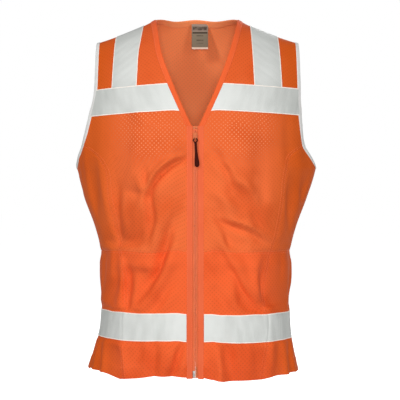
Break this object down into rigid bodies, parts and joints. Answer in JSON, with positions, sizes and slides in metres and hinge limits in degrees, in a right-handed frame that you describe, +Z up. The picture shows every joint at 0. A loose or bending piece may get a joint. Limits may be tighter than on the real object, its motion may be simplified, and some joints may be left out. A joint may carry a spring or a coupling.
{
  "type": "high visibility vest",
  "caption": "Sleeveless orange mesh safety vest with a V neck, a front zip, princess seams and silver reflective bands at the shoulders, chest and waist.",
  "frame": {"origin": "midway between the two neck points, at the height of the shoulders that carry the vest", "axes": "+Z up, +X towards the wearer's left, the front with its zip faces -Y"},
  "size_m": [0.4604, 0.2569, 0.6753],
  "materials": {
    "orange_mesh": "open knitted polyester mesh",
    "coral_binding": "smooth woven polyester binding",
    "reflective_tape": "silver retroreflective tape, matt in daylight",
    "armhole_binding": "silver white woven binding",
    "zip_cloth": "woven zip tape",
    "zip_coil": "nylon coil",
    "zip_metal": "satin",
    "slider_paint": "enamelled",
    "pull_rubber": "moulded, satin",
    "care_label": "printed satin ribbon with plain bars in place of text"
  },
  "bodies": {
    "root": {"back_upper_panel": "orange_mesh", "back_lower_panel": "orange_mesh", "back_chest_tape": "reflective_tape", "back_waist_tape": "reflective_tape", "back_neck_binding": "coral_binding", "right_front_yoke": "orange_mesh", "right_shoulder_tape": "reflective_tape", "right_chest_tape": "reflective_tape", "right_neck_binding": "coral_binding", "right_armhole_binding": "armhole_binding", "left_front_yoke": "orange_mesh", "left_shoulder_tape": "reflective_tape", "left_chest_tape": "reflective_tape", "left_neck_binding": "coral_binding", "left_armhole_binding": "armhole_binding"},
    "right_front": {"right_front_upper_panel": "orange_mesh", "right_front_lower_panel": "orange_mesh", "right_side_upper_panel": "orange_mesh", "right_side_lower_panel": "orange_mesh", "right_waist_tape": "reflective_tape", "right_side_waist_tape": "reflective_tape", "right_underarm_binding": "armhole_binding", "right_facing": "coral_binding", "right_zip_tape": "zip_cloth", "right_zip_coil": "zip_coil", "right_top_stop": "zip_metal", "zip_retainer_box": "zip_metal"},
    "left_front": {"left_front_upper_panel": "orange_mesh", "left_front_lower_panel": "orange_mesh", "left_side_upper_panel": "orange_mesh", "left_side_lower_panel": "orange_mesh", "left_waist_tape": "reflective_tape", "left_side_waist_tape": "reflective_tape", "left_underarm_binding": "armhole_binding", "left_facing": "coral_binding", "left_zip_tape": "zip_cloth", "left_zip_coil": "zip_coil", "left_top_stop": "zip_metal", "zip_insertion_pin": "zip_metal"},
    "slider": {"zip_slider": "slider_paint"},
    "pull": {"zip_pull": "pull_rubber"},
    "label": {"care_label": "care_label"}
  },
  "joints": [
    {"name": "right_front_open", "type": "hinge", "parent": "root", "child": "right_front", "pos_m": [-0.232, 0, -0.4345], "axis": [0, 0, -1], "range_deg": [0, 45]},
    {"name": "left_front_open", "type": "hinge", "parent": "root", "child": "left_front", "pos_m": [0.232, 0, -0.4345], "axis": [0, 0, 1], "range_deg": [0, 45]},
    {"name": "zip_slide", "type": "slide", "parent": "right_front", "child": "slider", "axis": [0, 0, -1], "range_m": [-0.006, 0.413]},
    {"name": "pull_swing", "type": "hinge", "parent": "slider", "child": "pull", "pos_m": [0, -0.1341, -0.2295], "axis": [-1, 0, 0], "range_deg": [0, 165]},
    {"name": "label_flip", "type": "hinge", "parent": "root", "child": "label", "pos_m": [0.0084, 0.0715, -0.003], "axis": [-1, 0, 0], "range_deg": [-12, 130]}
  ]
}
